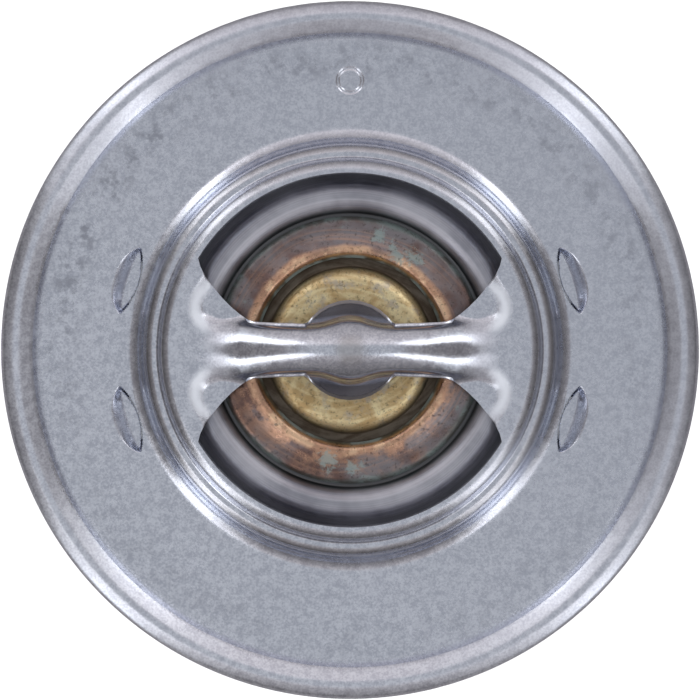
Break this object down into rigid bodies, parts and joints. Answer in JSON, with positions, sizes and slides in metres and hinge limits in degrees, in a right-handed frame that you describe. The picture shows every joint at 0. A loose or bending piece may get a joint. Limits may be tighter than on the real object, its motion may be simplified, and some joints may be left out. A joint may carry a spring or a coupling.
{
  "type": "engine thermostat",
  "caption": "Coolant thermostat: round hemmed steel flange with an arched bridge, wax element, sprung valve disc and bypass disc.",
  "frame": {"origin": "on the valve's axis, in the plane of the flange rim's underside", "axes": "+Z out of the engine along the valve's axis, towards the bridge; X along the bridge strip"},
  "size_m": [0.067, 0.067, 0.0482],
  "materials": {
    "zinc_steel": "satin",
    "frame_steel": "satin",
    "disc_steel": "satin",
    "copper": "satin",
    "brass": "satin",
    "stem_brass": "satin",
    "ptfe": "matte",
    "rubber": "matte",
    "wax": "matte",
    "ground_steel": "polished",
    "spring_steel": "satin",
    "ring_steel": "satin",
    "bypass_steel": "satin"
  },
  "bodies": {
    "frame": {"flange_bridge": "zinc_steel", "lower_frame": "frame_steel", "piston": "ground_steel", "main_spring": "spring_steel"},
    "element": {"valve_disc": "disc_steel", "wax_cup": "copper", "piston_guide": "brass", "chafe_washer": "ptfe", "rubber_sleeve": "rubber", "wax_charge": "wax", "bypass_stem": "stem_brass", "bypass_spring": "spring_steel", "retaining_ring": "ring_steel"},
    "bypass": {"bypass_disc": "bypass_steel"}
  },
  "joints": [
    {"name": "valve_lift", "type": "slide", "parent": "frame", "child": "element", "axis": [0, 0, -1], "range_m": [0, 0.009], "stiffness_N_per_m": 5000, "springref_m": -0.012, "deforming": ["main_spring"]},
    {"name": "bypass_give", "type": "slide", "parent": "element", "child": "bypass", "axis": [0, 0, 1], "range_m": [0, 0.005], "stiffness_N_per_m": 600, "springref_m": -0.008, "deforming": ["bypass_spring"]}
  ]
}
